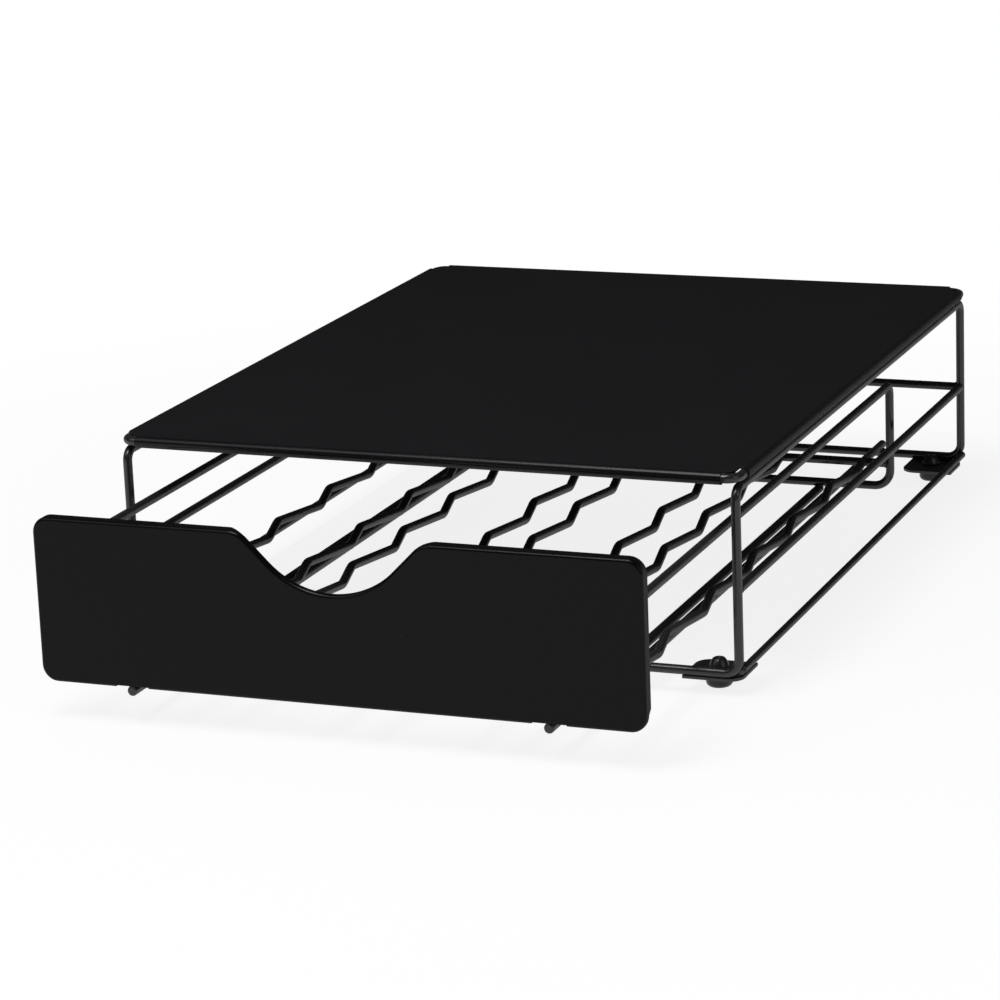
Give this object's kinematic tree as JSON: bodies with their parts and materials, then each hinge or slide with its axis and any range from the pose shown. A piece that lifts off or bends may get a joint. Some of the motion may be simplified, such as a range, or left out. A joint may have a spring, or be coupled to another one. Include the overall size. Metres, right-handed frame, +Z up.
{
  "type": "coffee pod drawer",
  "caption": "Low wire frame with a flat metal top for a coffee machine, and a sliding wire drawer with toothed wires that hold rows of coffee pods.",
  "frame": {"origin": "on the table, at the centre of the outline with the drawer part of the way out, as modelled", "axes": "+X to the right seen from the front, +Y to the back, +Z up"},
  "size_m": [0.2338, 0.3796, 0.0793],
  "materials": {
    "top_sheet": "fine textured black powder coat",
    "front_sheet": "satin black powder coat",
    "frame_wire": "satin black powder coat",
    "basket_wire": "satin black powder coat",
    "foot_rubber": "matt black rubber"
  },
  "bodies": {
    "frame": {"top_panel": "top_sheet", "top_ring_wire": "frame_wire", "front_leg_wire": "frame_wire", "rear_leg_wire": "frame_wire", "left_top_bar": "frame_wire", "right_top_bar": "frame_wire", "left_mid_rail": "frame_wire", "right_mid_rail": "frame_wire", "rear_mid_rail": "frame_wire", "left_bottom_rail": "frame_wire", "right_bottom_rail": "frame_wire", "left_guide_wire": "frame_wire", "right_guide_wire": "frame_wire", "front_left_plate": "frame_wire", "front_right_plate": "frame_wire", "rear_left_plate": "frame_wire", "rear_right_plate": "frame_wire", "front_left_foot": "foot_rubber", "front_right_foot": "foot_rubber", "rear_left_foot": "foot_rubber", "rear_right_foot": "foot_rubber"},
    "drawer": {"front_panel": "front_sheet", "left_side_rail": "basket_wire", "right_side_rail": "basket_wire", "rear_basket_wire": "basket_wire", "upper_rear_wire": "basket_wire", "left_runner": "basket_wire", "right_runner": "basket_wire", "cradle_wire_1": "basket_wire", "cradle_wire_2": "basket_wire", "cradle_wire_3": "basket_wire", "cradle_wire_4": "basket_wire", "cradle_wire_5": "basket_wire", "cradle_wire_6": "basket_wire", "cradle_wire_7": "basket_wire", "cradle_wire_8": "basket_wire"}
  },
  "joints": [
    {"name": "drawer_slide", "type": "slide", "parent": "frame", "child": "drawer", "axis": [0, -1, 0], "range_m": [-0.0704, 0.18]}
  ]
}
